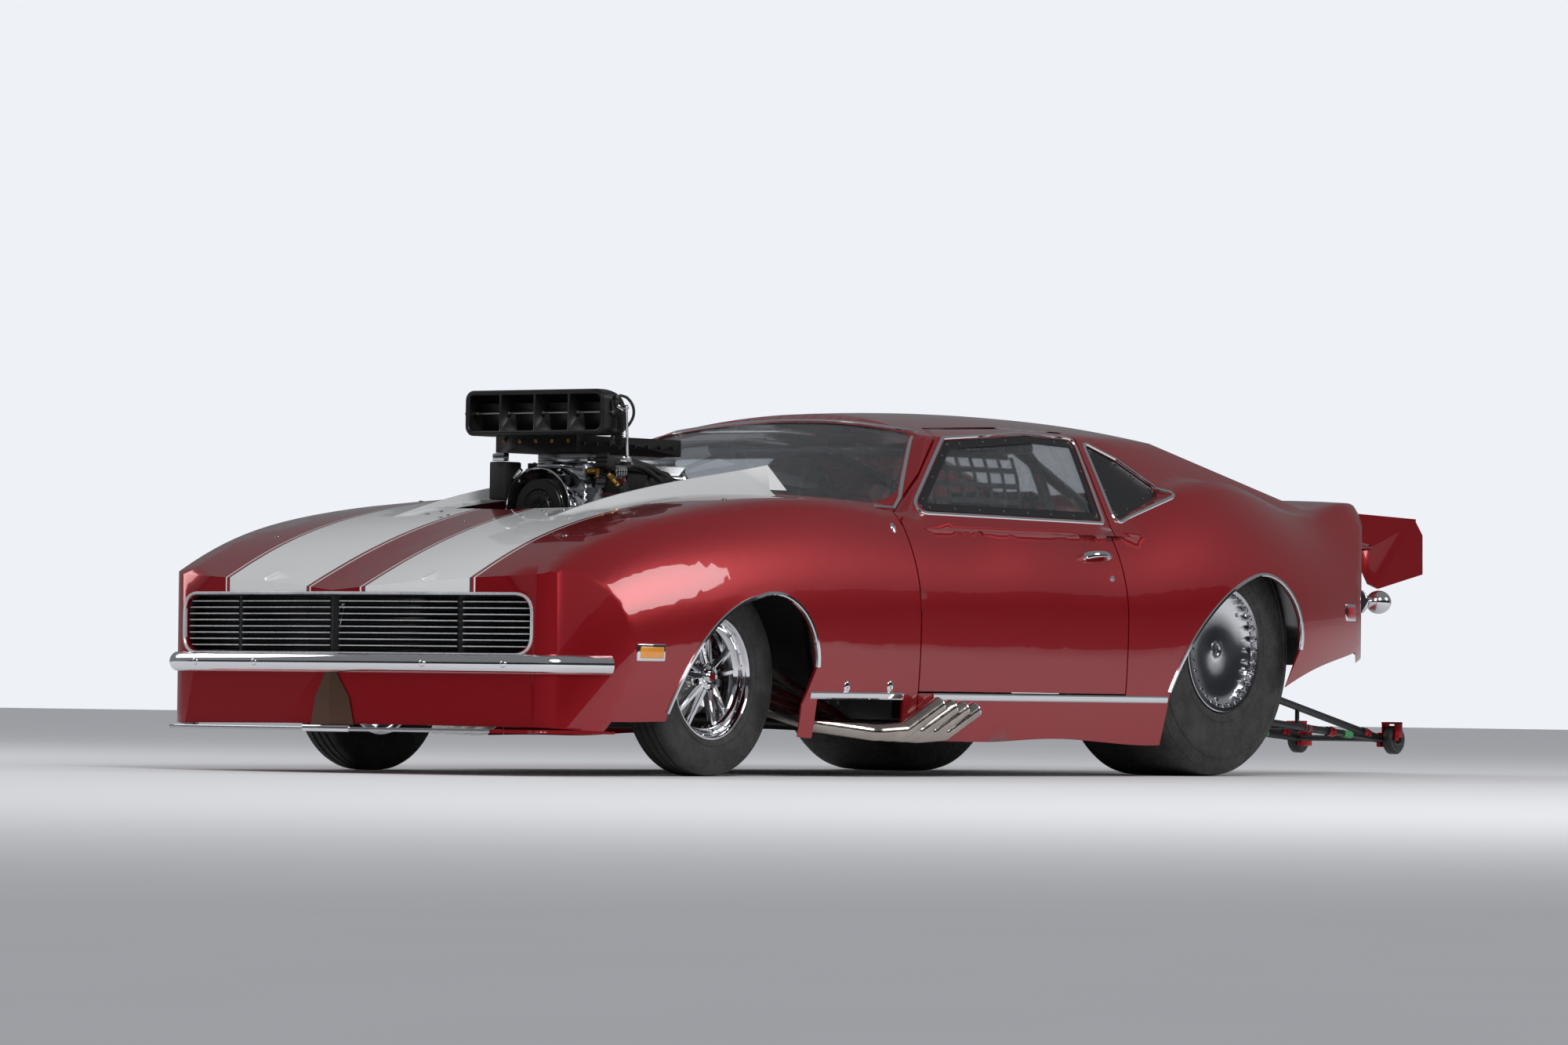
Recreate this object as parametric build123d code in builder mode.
"""Drag racing car: a chopped two-door coupe body on a tube chassis, with a blown engine through the bonnet.

Frame: +X forward, +Y to the car's left, +Z up, in millimetres. The origin is on the ground, under the
middle of the overall length. Lengths along the car are measured from the front or the rear axle line.
"""

import os
from math import atan2, cos, degrees, radians, sin, sqrt

from build123d import *

os.makedirs("parts", exist_ok=True)

# Overall layout
OVERALL_LENGTH = 6200.0
WHEELBASE = 2920.0
FRONT_OVERHANG = 1080.0
FRONT_AXLE_X = OVERALL_LENGTH / 2 - FRONT_OVERHANG
REAR_AXLE_X = FRONT_AXLE_X - WHEELBASE
SEAT_GAP = 0.3  # clearance where one fixed piece seats on another
RUN_GAP = 0.05  # radial running clearance of a shaft in its bore

# Body shell
SHELL_WALL = 14.0
DOOR_WALL = 40.0
DOOR_FRAME_WALL = 24.0
NOSE_AHEAD = 1045.0  # nose peak, ahead of the front axle
NOSE_V_SETBACK = 130.0  # how far the ends of the nose lie behind its peak
NOSE_HALF_WIDTH = 800.0
NOSE_CORNER_R = 120.0
TAIL_BEHIND = 1150.0  # tail panel, behind the rear axle
TAIL_SETBACK = 60.0
TAIL_HALF_WIDTH = 745.0
TAIL_CORNER_R = 90.0
COWL_AHEAD = 2215.0  # rear edge of the bonnet on the centre line, ahead of the rear axle
SHUT_GAP = 7.0
SHUT_GAP_REAR = 10.0
DOOR_FRONT = 1954.0  # door edges, ahead of the rear axle
DOOR_REAR = 722.0
SILL_Z = 292.0
SIDE_Y = 1100.0  # beyond the widest point of the body

# Each row is one cross section of the lower body. Columns: axle it is measured from, distance ahead of
# that axle, bottom height, bottom half width, height of the widest point, widest half width,
# crest height, crest half width, centre height.
SECTIONS = [
    ("front", 1150, 150, 850, 400, 892, 548, 790, 552),
    ("front", 780, 150, 870, 430, 915, 716, 800, 706),
    ("front", 380, 150, 882, 470, 930, 838, 805, 834),
    ("front", 0, 150, 890, 500, 936, 896, 808, 912),
    ("front", -470, 125, 896, 520, 934, 930, 812, 962),
    ("front", -900, 120, 900, 540, 931, 908, 818, 974),
    ("rear", 1500, 120, 902, 550, 930, 884, 826, 966),
    ("rear", 800, 120, 906, 550, 934, 886, 828, 960),
    ("rear", 350, 120, 912, 560, 948, 990, 806, 1016),
    ("rear", 0, 190, 915, 570, 958, 1064, 786, 1072),
    ("rear", -350, 300, 900, 580, 946, 1020, 766, 1040),
    ("rear", -750, 385, 846, 600, 896, 968, 738, 990),
    ("rear", -1200, 560, 740, 690, 800, 914, 690, 936),
]
AXLE_X = {"front": FRONT_AXLE_X, "rear": REAR_AXLE_X}
CROWN = 10.0

# Cabin, as two level outlines joined by straight lines. Columns: height, windscreen at the centre,
# windscreen at the corner, corner half width, middle half width, rear corner, its half width, rear
# centre. Lengths are ahead of the rear axle.
CABIN_OUTLINES = [
    (850, 2360, 1935, 842, 862, -1400, 700, -1370),
    (1330, 1255, 1320, 512, 540, 560, 500, 520),
]
# Roof crown. Columns: distance ahead of the rear axle, height at the centre, height at the sides.
ROOF_SECTIONS = [(2400, 1160, 940), (950, 1288, 1062), (-1200, 1130, 900)]
ROOF_SIDE_Y = 992.0

# Openings in the body's sides, as (ahead of rear axle, height)
DOOR_GLASS = [(1835, 912), (1425, 1168), (930, 1203), (640, 1193), (752, 902)]
QUARTER_GLASS = [(572, 1182), (420, 1128), (235, 1018), (662, 902)]
DOOR_EDGE = [
    (DOOR_FRONT, SILL_Z),
    (DOOR_FRONT, 872),
    (1893, 906),
    (1450, 1184),
    (1380, 1208),
    (930, 1226),
    (612, 1218),
    (DOOR_REAR, 880),
    (DOOR_REAR, SILL_Z),
]
GLASS_CORNER_R = 22.0
GLASS_INSET = 4.0
GLASS_WALL = 5.0

# Wheels and tyres
FRONT_TYRE_R = 330.0
FRONT_TYRE_WIDTH = 150.0
FRONT_RIM_R = 208.0
FRONT_RIM_WIDTH = 116.0
FRONT_TRACK = 1430.0
REAR_TYRE_R = 457.0
REAR_TYRE_WIDTH = 448.0
REAR_RIM_R = 226.0
REAR_RIM_WIDTH = 432.0
REAR_TRACK = 1280.0
RIM_WALL = 5.0
WHEELIE_WHEEL_R = 55.0
WHEELIE_WHEEL_WIDTH = 40.0
WHEELIE_CLEARANCE = 75.0
WHEELIE_TRACK = 440.0
WHEELIE_AXLE_R = 8.0

# Running gear
SPINDLE_R = 20.0
KINGPIN_Y = 588.0
KINGPIN_LEAN = 6.0  # degrees inboard at the top
AXLE_SHAFT_R = 22.0
AXLE_TUBE_R = 44.0

# Chassis tubes
RAIL_R = 22.0
CROSS_R = 17.5
CAGE_R = 20.5
BEND_R = 90.0


def front(distance):
    """x of a place measured forward of the front axle."""
    return FRONT_AXLE_X + distance


def rear(distance):
    """x of a place measured forward of the rear axle."""
    return REAR_AXLE_X + distance


def save(builder, name):
    """Labels a finished piece and writes it."""
    builder.part.label = name
    export_step(builder.part, f"parts/{name}.step")


def section_sketch(row, inset, floor_drop):
    """One closed cross section of the lower body, moved inwards by inset and down by floor_drop."""
    axle, ahead, z_low, y_low, z_wide, y_wide, z_crest, y_crest, z_mid = row
    low = (y_low - inset, z_low - floor_drop)
    wide = (y_wide - inset, z_wide)
    crest = (y_crest - inset, z_crest - inset)
    mid = (0, z_mid - inset)
    with BuildSketch(Plane.YZ.offset(AXLE_X[axle] + ahead)) as outline:
        with BuildLine():
            Line((0, low[1]), low)
            TangentArc(wide, low, tangent=(0, -1))
            TangentArc(wide, crest, tangent=(0, 1))
            ThreePointArc(crest, (crest[0] / 2, (crest[1] + mid[1]) / 2 + CROWN), mid)
            mirror(about=Plane.YZ)
        make_face()
    return outline.sketch


def plan_form(inset):
    """The body's outline seen from above, as a tall prism."""
    nose = front(NOSE_AHEAD) - inset
    tail = rear(-TAIL_BEHIND) + inset
    with BuildPart() as form:
        with BuildSketch():
            with BuildLine():
                edge = Polyline(
                    (nose, 0),
                    (nose - NOSE_V_SETBACK, NOSE_HALF_WIDTH - inset),
                    (front(480) - inset, SIDE_Y - 110 - inset),
                    (rear(-700) + inset, SIDE_Y - 110 - inset),
                    (tail + TAIL_SETBACK, TAIL_HALF_WIDTH - inset),
                    (tail, 0),
                )
                mirror(edge, about=Plane.XZ)
            make_face()
            nose_corner_x = nose - NOSE_V_SETBACK
            tail_corner_x = tail + TAIL_SETBACK
            fillet(vertices().filter_by(lambda v: abs(v.X - nose_corner_x) < 0.1), NOSE_CORNER_R)
            fillet(vertices().filter_by(lambda v: abs(v.X - tail_corner_x) < 0.1), TAIL_CORNER_R)
        extrude(amount=1500)
    return form.part


def lower_body(inset=0.0, floor_drop=0.0):
    """The body below the windows as one closed form."""
    with BuildPart() as form:
        for row in SECTIONS:
            add(section_sketch(row, inset, floor_drop))
        loft()
        add(plan_form(inset), mode=Mode.INTERSECT)
    return form.part


def cabin_outline(row, inset):
    """One level outline of the cabin."""
    z, screen_mid, screen_corner, y_corner, y_mid, rear_corner, y_rear, rear_mid = row
    y_corner, y_mid, y_rear = y_corner - inset, y_mid - inset, y_rear - inset
    front_x, back_x = rear(screen_corner) - inset, rear(rear_corner) + inset
    middle_x = (front_x + back_x) / 2
    with BuildSketch(Plane.XY.offset(z)) as outline:
        with BuildLine():
            ThreePointArc((front_x, -y_corner), (rear(screen_mid) - inset, 0), (front_x, y_corner))
            ThreePointArc((front_x, y_corner), (middle_x, y_mid), (back_x, y_rear))
            ThreePointArc((back_x, y_rear), (rear(rear_mid) + inset, 0), (back_x, -y_rear))
            ThreePointArc((back_x, -y_rear), (middle_x, -y_mid), (front_x, -y_corner))
        make_face()
    return outline.sketch


def roof_form(inset):
    """A block whose top is the crowned roof."""
    with BuildPart() as form:
        for ahead, z_mid, z_side in ROOF_SECTIONS:
            with BuildSketch(Plane.YZ.offset(rear(ahead))):
                with BuildLine():
                    Polyline(
                        (-ROOF_SIDE_Y, z_side - inset),
                        (-ROOF_SIDE_Y, 500),
                        (ROOF_SIDE_Y, 500),
                        (ROOF_SIDE_Y, z_side - inset),
                    )
                    ThreePointArc(
                        (ROOF_SIDE_Y, z_side - inset), (0, z_mid - inset), (-ROOF_SIDE_Y, z_side - inset)
                    )
                make_face()
        loft()
    return form.part


def cabin(inset=0.0):
    """The cabin above the belt as one closed form."""
    with BuildPart() as form:
        for row in CABIN_OUTLINES:
            add(cabin_outline(row, inset))
        loft(ruled=True)
        add(roof_form(inset), mode=Mode.INTERSECT)
    return form.part


def side_prism(points, side, grow=0.0, round_r=0.0, y_from=300.0, y_to=SIDE_Y):
    """A side view outline drawn through one side of the body. Points are (ahead of rear axle, height)."""
    with BuildPart() as prism:
        with BuildSketch(Plane.XZ.offset(-side * y_from)):
            with BuildLine():
                Polyline(*[(rear(a), z) for a, z in points], close=True)
            make_face()
            if grow:
                offset(amount=grow, kind=Kind.INTERSECTION)
            if round_r:
                fillet(vertices(), round_r)
        extrude(amount=-side * (y_to - y_from))
    return prism.part


def cowl_prism(shift):
    """Everything behind the line where the lift-off front end meets the rest of the body."""
    edge = rear(DOOR_FRONT + SHUT_GAP) + shift
    with BuildPart() as prism:
        with BuildSketch():
            with BuildLine():
                Polyline(
                    (edge, 850), (edge, SIDE_Y), (-OVERALL_LENGTH, SIDE_Y), (-OVERALL_LENGTH, -SIDE_Y),
                    (edge, -SIDE_Y), (edge, -850),
                )
                ThreePointArc((edge, -850), (rear(COWL_AHEAD) + shift, 0), (edge, 850))
            make_face()
        extrude(amount=1500)
    return prism.part


def front_arch(side):
    """The cut for one front wheel."""
    with BuildPart() as cut:
        with BuildSketch(Plane.XZ.offset(-side * 560)):
            with BuildLine():
                Polyline((front(-310), 240), (front(-310), 0), (front(425), 0), (front(412), 145))
                ThreePointArc((front(412), 145), (front(250), 440), (front(-60), 594))
                ThreePointArc((front(-60), 594), (front(-318), 520), (front(-375), 370))
                Line((front(-375), 370), (front(-310), 240))
            make_face()
        extrude(amount=-side * 600)
    return cut.part


def rear_arch(side):
    """The cut for one rear wheel."""
    with BuildPart() as cut:
        with BuildSketch(Plane.XZ.offset(-side * 400)):
            with BuildLine():
                Polyline(
                    (rear(-320), 327), (rear(-320), 0), (rear(480), 0), (rear(480), 121), (rear(450), 297)
                )
                ThreePointArc((rear(450), 297), (rear(255), 548), (rear(-100), 723))
                ThreePointArc((rear(-100), 723), (rear(-335), 630), (rear(-390), 465))
                Line((rear(-390), 465), (rear(-320), 327))
            make_face()
        extrude(amount=-side * 760)
    return cut.part


LOWER = lower_body()
CABIN = cabin()
with BuildPart() as outer_form:
    add(LOWER)
    add(CABIN)
with BuildPart() as inner_form:
    add(lower_body(SHELL_WALL, 80))
    add(cabin(SHELL_WALL))


# Front end: wings, bonnet and valance in one lift-off piece
GRILLE_Z = (397.0, 585.0)
GRILLE_HALF_WIDTH = 739.0
GRILLE_CORNER_R = 60.0
BONNET_HOLE = (-720.0, 150.0, 300.0)  # rear end, front end (ahead of the front axle), half width
BONNET_HOLE_R = 45.0
PIPE_NOTCH = (2040.0, 2530.0, 262.0)  # from and to, ahead of the rear axle, and height
FIN_ROOT = 150.0
FIN_EDGE = 16.0
FIN_CLEAR_Z = 976.0
# Air fins beside the bonnet hole. Columns: ahead of the front axle, crest height, inner and outer y.
FINS = [
    (980, 640, 330, 395), (330, 857, 334, 470), (-90, 953, 336, 500),
    (-530, 1020, 338, 505), (-840, 1064, 340, 500),
]


def grille_cut(x_from, x_to, shrink=0.0):
    """The grille opening as a prism along the car."""
    low, high = GRILLE_Z
    with BuildPart() as cut:
        with BuildSketch(Plane.YZ.offset(x_from)):
            with Locations((0, (low + high) / 2)):
                RectangleRounded(
                    2 * (GRILLE_HALF_WIDTH - shrink), high - low - 2 * shrink, GRILLE_CORNER_R - shrink
                )
        extrude(amount=x_to - x_from)
    return cut.part


with BuildPart() as fins:
    for side in (1, -1):
        for ahead, z_crest, y_in, y_out in FINS:
            with BuildSketch(Plane.YZ.offset(front(ahead))):
                with BuildLine():
                    Polyline(
                        (side * y_in, z_crest - FIN_ROOT), (side * y_in, z_crest),
                        (side * (y_in + FIN_EDGE), z_crest), (side * y_out, z_crest - FIN_ROOT), close=True,
                    )
                make_face()
        loft()
    add(inner_form.part, mode=Mode.SUBTRACT)
    with BuildPart(mode=Mode.PRIVATE) as cowl_clear:
        add(cowl_prism(SHUT_GAP))
        with Locations((0, 0, 0)):
            Box(2 * OVERALL_LENGTH, 2 * SIDE_Y, 2 * FIN_CLEAR_Z, mode=Mode.INTERSECT)
    add(cowl_clear.part, mode=Mode.SUBTRACT)

with BuildPart() as front_clip:
    add(LOWER)
    add(inner_form.part, mode=Mode.SUBTRACT)
    add(cowl_prism(0), mode=Mode.SUBTRACT)
    add(fins.part)
    for side in (1, -1):
        with Locations(
            (rear((PIPE_NOTCH[0] + PIPE_NOTCH[1]) / 2), side * (SIDE_Y - 150), PIPE_NOTCH[2] / 2)
        ):
            Box(PIPE_NOTCH[1] - PIPE_NOTCH[0], 400, PIPE_NOTCH[2], mode=Mode.SUBTRACT)
    for side in (1, -1):
        add(front_arch(side), mode=Mode.SUBTRACT)
    add(grille_cut(front(700), front(1200)), mode=Mode.SUBTRACT)
    hole_rear, hole_front, hole_half = BONNET_HOLE
    with BuildSketch(Plane.XY.offset(700)):
        with Locations((front((hole_rear + hole_front) / 2), 0)):
            RectangleRounded(hole_front - hole_rear, 2 * hole_half, BONNET_HOLE_R)
    extrude(amount=500, mode=Mode.SUBTRACT)
save(front_clip, "front_clip")

# Body shell behind the cowl line
SCREEN_LOW = (925.0, 752.0, 978.0)  # lower edge: height at the sides, half width, height at the centre
SCREEN_HIGH = (1190.0, 546.0, 1236.0)
BACKLIGHT_LOW = (1015.0, 600.0, 1050.0)
BACKLIGHT_HIGH = (1190.0, 470.0, 1232.0)


def screen_prism(low, high, x_from, x_to, shrink=0.0):
    """A front view outline of a windscreen or rear window, drawn along the car."""
    z_low, y_low, z_low_mid = low
    z_high, y_high, z_high_mid = high
    with BuildPart() as prism:
        with BuildSketch(Plane.YZ.offset(x_from)):
            with BuildLine():
                ThreePointArc((-y_low, z_low), (0, z_low_mid), (y_low, z_low))
                Line((y_low, z_low), (y_high, z_high))
                ThreePointArc((y_high, z_high), (0, z_high_mid), (-y_high, z_high))
                Line((-y_high, z_high), (-y_low, z_low))
            make_face()
            fillet(vertices(), 34)
            if shrink:
                offset(amount=-shrink)
        extrude(amount=x_to - x_from)
    return prism.part


# A stepped lip on the cowl that the front end rests on
LIP_REACH = 24.0
LIP_WALL = 6.0
LIP_HALF_WIDTH = 780.0
with BuildPart() as cowl_lip:
    add(cowl_prism(LIP_REACH))
    with Locations((0, 0, 1200)):
        Box(2 * OVERALL_LENGTH, 2 * LIP_HALF_WIDTH, 2 * (1200 - 850), mode=Mode.INTERSECT)
    add(cowl_prism(-SHUT_GAP - LIP_REACH), mode=Mode.SUBTRACT)
    add(lower_body(SHELL_WALL + SEAT_GAP), mode=Mode.INTERSECT)
    with BuildPart(mode=Mode.PRIVATE) as lip_root:
        add(cowl_prism(-SHUT_GAP))
        add(cowl_prism(-SHUT_GAP - LIP_REACH), mode=Mode.SUBTRACT)
        with Locations((0, 0, 1200)):
            Box(2 * OVERALL_LENGTH, 2 * LIP_HALF_WIDTH, 2 * (1200 - 850), mode=Mode.INTERSECT)
        add(LOWER, mode=Mode.INTERSECT)
    add(lip_root.part)
    add(lower_body(SHELL_WALL + SEAT_GAP + LIP_WALL), mode=Mode.SUBTRACT)

with BuildPart() as body_shell:
    add(outer_form.part)
    add(inner_form.part, mode=Mode.SUBTRACT)
    add(cowl_prism(-SHUT_GAP), mode=Mode.INTERSECT)
    for side in (1, -1):
        add(side_prism(DOOR_EDGE, side, SHUT_GAP, y_from=450), mode=Mode.SUBTRACT)
        add(side_prism(QUARTER_GLASS, side, 0, GLASS_CORNER_R, y_from=450), mode=Mode.SUBTRACT)
        add(rear_arch(side), mode=Mode.SUBTRACT)
    add(screen_prism(SCREEN_LOW, SCREEN_HIGH, rear(1200), rear(2500)), mode=Mode.SUBTRACT)
    add(screen_prism(BACKLIGHT_LOW, BACKLIGHT_HIGH, rear(-1000), rear(500)), mode=Mode.SUBTRACT)
    add(cowl_lip.part)
save(body_shell, "body_shell")

# Doors. Each turns on a slim pin in the front shut gap, held by straps from the cage.
HINGE_AHEAD = DOOR_FRONT + SHUT_GAP / 2
HINGE_Y = 928.2  # the skin's own half width at the hinge
HINGE_Z = 600.0
HINGE_LEAN = 0.0915  # inboard per unit of height
HINGE_PIN_R = 1.8
HINGE_EYE_R = 3.2
HINGE_LENGTH = 80.0
STRAP = 4.0
STRAP_HEIGHT = 12.0
STRAP_INNER_Y = 675.0


def hinge_point(side, rise):
    """A point on a door's hinge line."""
    return (rear(HINGE_AHEAD), side * (HINGE_Y - HINGE_LEAN * rise), HINGE_Z + rise)


def hinge_bar(side, half_length, radius):
    """A round bar on a door's hinge line."""
    low, high = Vector(*hinge_point(side, -half_length)), Vector(*hinge_point(side, half_length))
    with BuildPart() as bar:
        with BuildSketch(Plane(origin=low, z_dir=high - low)):
            Circle(radius)
        extrude(amount=(high - low).length)
    return bar.part


with BuildPart() as door_hinges:
    for side in (1, -1):
        add(hinge_bar(side, HINGE_LENGTH / 2, HINGE_PIN_R))
        for rise in (-HINGE_LENGTH / 2 + STRAP_HEIGHT / 2, HINGE_LENGTH / 2 - STRAP_HEIGHT / 2):
            x, y, z = hinge_point(side, rise)
            with Locations((x, (y + side * STRAP_INNER_Y) / 2, z)):
                Box(STRAP, abs(y) - STRAP_INNER_Y, STRAP_HEIGHT)

with BuildPart() as door_void:
    add(lower_body(DOOR_WALL, 80))
    add(cabin(DOOR_FRAME_WALL))

for side, word in ((1, "left"), (-1, "right")):
    with BuildPart() as door:
        add(side_prism(DOOR_EDGE, side, y_from=450))
        add(outer_form.part, mode=Mode.INTERSECT)
        add(door_void.part, mode=Mode.SUBTRACT)
        add(side_prism(DOOR_GLASS, side, 0, GLASS_CORNER_R, y_from=450), mode=Mode.SUBTRACT)
        add(hinge_bar(side, HINGE_LENGTH / 2 - STRAP_HEIGHT - 8, HINGE_EYE_R))
        x, y, z = hinge_point(side, 0)
        with Locations((x - 4, y - side * 1.7, z)):
            Box(5, 3.6, HINGE_LENGTH - 2 * STRAP_HEIGHT - 16)
        add(hinge_bar(side, HINGE_LENGTH, HINGE_PIN_R + RUN_GAP), mode=Mode.SUBTRACT)
    save(door, f"door_{word}")

# Glass
with BuildPart() as glass_skin:
    add(cabin(GLASS_INSET))
    add(cabin(GLASS_INSET + GLASS_WALL), mode=Mode.SUBTRACT)

with BuildPart() as windscreen:
    add(screen_prism(SCREEN_LOW, SCREEN_HIGH, rear(1200), rear(2500), SEAT_GAP))
    add(glass_skin.part, mode=Mode.INTERSECT)
save(windscreen, "windscreen")

with BuildPart() as rear_glass:
    for side in (1, -1):
        add(side_prism(QUARTER_GLASS, side, -SEAT_GAP, GLASS_CORNER_R - SEAT_GAP, y_from=450))
    add(screen_prism(BACKLIGHT_LOW, BACKLIGHT_HIGH, rear(-1000), rear(500), SEAT_GAP))
    add(glass_skin.part, mode=Mode.INTERSECT)
save(rear_glass, "rear_glass")

for side, word in ((1, "left"), (-1, "right")):
    with BuildPart() as pane:
        add(side_prism(DOOR_GLASS, side, -SEAT_GAP, GLASS_CORNER_R - SEAT_GAP, y_from=450))
        add(glass_skin.part, mode=Mode.INTERSECT)
    save(pane, f"door_glass_{word}")

# Wheels and tyres
RIM_LIP = 18.0
HUB_R = 52.0
SPOKE_PAIRS = 5
SPOKE_SPREAD = 17.0  # degrees between the two spokes of a pair
SPOKE_WIDTH = 15.0
SPOKE_DEPTH = 24.0
FRONT_DISC_R = 132.0
REAR_DISC_R = 150.0
DISC_WALL = 9.0
DISC_Y = 372.0  # rear brake discs, from the centre plane
FRONT_BULGES = [(0.45, 1.0)]
REAR_BULGES = [(0.3, 0.8), (0.6, 1.0)]


def tyre(radius, width, rim_radius, rim_width, shoulder, bulges):
    """A tyre centred on the origin, turning about Y. Bulges are shares of the way up its sidewall."""
    seat = rim_radius - RIM_LIP + SEAT_GAP
    bead = rim_width / 2 - RIM_WALL - SEAT_GAP
    wall_top = radius - shoulder
    wall_out = width / 2 - bead
    with BuildPart() as ring:
        with BuildSketch():
            with BuildLine():
                Polyline(
                    (seat, 0), (seat, bead), (rim_radius + 3, bead),
                    *[
                        (rim_radius + 3 + up * (wall_top - rim_radius - 3), bead + out * wall_out)
                        for up, out in bulges
                    ],
                    (wall_top, width / 2 - 0.25 * shoulder), (radius, width / 2 - shoulder), (radius, 0),
                )
                mirror(about=Plane.XZ)
            make_face()
        revolve(axis=Axis.Y)
    return ring.part


def rim_barrel(rim_radius, rim_width, well):
    """The rim's rolled barrel: lips, bead seats and a dropped well, turning about Y."""
    seat = rim_radius - RIM_LIP
    half = rim_width / 2
    drop = seat - well
    with BuildPart() as barrel:
        with BuildSketch():
            with BuildLine():
                Polyline(
                    (drop, 0), (drop, 0.22 * rim_width), (seat, 0.30 * rim_width), (seat, half - RIM_WALL),
                    (rim_radius, half - RIM_WALL), (rim_radius, half), (seat - RIM_WALL, half),
                    (seat - RIM_WALL, 0.31 * rim_width), (drop - RIM_WALL, 0.23 * rim_width),
                    (drop - RIM_WALL, 0),
                )
                mirror(about=Plane.XZ)
            make_face()
        revolve(axis=Axis.Y)
    return barrel.part


def disc(radius, y_from, y_to, bore=0.0):
    """A plain disc about Y."""
    with BuildPart() as plate:
        with BuildSketch(Plane.XZ.offset(-y_from)):
            Circle(radius)
            if bore:
                Circle(bore, mode=Mode.SUBTRACT)
        extrude(amount=-(y_to - y_from))
    return plate.part


# Front wheels: pairs of narrow spokes set deep in the rim, with the brake disc on the hub
FRONT_WELL = 22.0
SPOKE_Y = (-6.0, 18.0)
HUB_Y = (-52.0, 34.0)
barrel_inner = FRONT_RIM_R - RIM_LIP - FRONT_WELL
for side, word in ((1, "left"), (-1, "right")):
    with BuildPart() as front_wheel:
        add(rim_barrel(FRONT_RIM_R, FRONT_RIM_WIDTH, FRONT_WELL))
        add(disc(HUB_R, *HUB_Y))
        add(disc(FRONT_DISC_R, HUB_Y[0], HUB_Y[0] + DISC_WALL))
        with BuildSketch(Plane.XZ.offset(-SPOKE_Y[0])):
            for pair in range(SPOKE_PAIRS):
                for lean in (-0.5, 0.5):
                    angle = 90 + 360 / SPOKE_PAIRS * pair + lean * SPOKE_SPREAD
                    with Locations(Rotation(0, 0, angle)):
                        with Locations(((HUB_R + barrel_inner) / 2, 0)):
                            Rectangle(barrel_inner - HUB_R + 12, SPOKE_WIDTH)
        extrude(amount=-(SPOKE_Y[1] - SPOKE_Y[0]))
        add(disc(SPINDLE_R + RUN_GAP, HUB_Y[0], HUB_Y[1] - 10), mode=Mode.SUBTRACT)
    placed = front_wheel.part if side > 0 else Rotation(0, 0, 180) * front_wheel.part
    with BuildPart() as front_wheel:
        add(Pos(FRONT_AXLE_X, side * FRONT_TRACK / 2, FRONT_TYRE_R) * placed)
    save(front_wheel, f"front_wheel_{word}")
    with BuildPart() as front_tyre:
        add(
            Pos(FRONT_AXLE_X, side * FRONT_TRACK / 2, FRONT_TYRE_R)
            * tyre(FRONT_TYRE_R, FRONT_TYRE_WIDTH, FRONT_RIM_R, FRONT_RIM_WIDTH, 22, FRONT_BULGES)
        )
    save(front_tyre, f"front_tyre_{word}")

# Rear wheels: a beadlock ring on the outer lip and a flat centre on the axle flange
REAR_WELL = 26.0
BEADLOCK_R = 222.0
BEADLOCK_INNER_R = 186.0
BEADLOCK_WALL = 10.0
CENTRE_Y = (40.0, 54.0)
COVER_Y = (184.0, 188.0)
COVER_BORE = 24.0
FLANGE_R = 90.0
FLANGE_WALL = 14.0
with BuildPart() as one_wheel:
    add(rim_barrel(REAR_RIM_R, REAR_RIM_WIDTH, REAR_WELL))
    add(disc(REAR_RIM_R - RIM_LIP - REAR_WELL - 1, *CENTRE_Y))
    add(disc(BEADLOCK_R, REAR_RIM_WIDTH / 2, REAR_RIM_WIDTH / 2 + BEADLOCK_WALL, BEADLOCK_INNER_R))
    add(disc(REAR_RIM_R - RIM_LIP - 4, *COVER_Y, COVER_BORE))
one_tyre = tyre(REAR_TYRE_R, REAR_TYRE_WIDTH, REAR_RIM_R, REAR_RIM_WIDTH, 40, REAR_BULGES)
with BuildPart() as rear_wheels:
    add(Pos(REAR_AXLE_X, REAR_TRACK / 2, REAR_TYRE_R) * one_wheel.part)
    add(Pos(REAR_AXLE_X, -REAR_TRACK / 2, REAR_TYRE_R) * Rotation(0, 0, 180) * one_wheel.part)
save(rear_wheels, "rear_wheels")
with BuildPart() as rear_tyres:
    for side in (1, -1):
        add(Pos(REAR_AXLE_X, side * REAR_TRACK / 2, REAR_TYRE_R) * one_tyre)
save(rear_tyres, "rear_tyres")

# Rear axle: one shaft that turns both wheels, in a fixed housing
HOUSING_END_Y = DISC_Y - DISC_WALL - 6
PINION_AHEAD = 250.0
with BuildPart() as axle_shaft:
    flange_y = REAR_TRACK / 2 + CENTRE_Y[0]
    add(disc(AXLE_SHAFT_R, -flange_y, flange_y))
    for side in (1, -1):
        add(disc(FLANGE_R, *sorted((side * (flange_y - FLANGE_WALL), side * flange_y))))
        add(disc(REAR_DISC_R, *sorted((side * (DISC_Y - DISC_WALL), side * DISC_Y))))
axle_part = Pos(REAR_AXLE_X, 0, REAR_TYRE_R) * axle_shaft.part
with BuildPart() as axle_shaft:
    add(axle_part)
save(axle_shaft, "axle_shaft")

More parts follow.
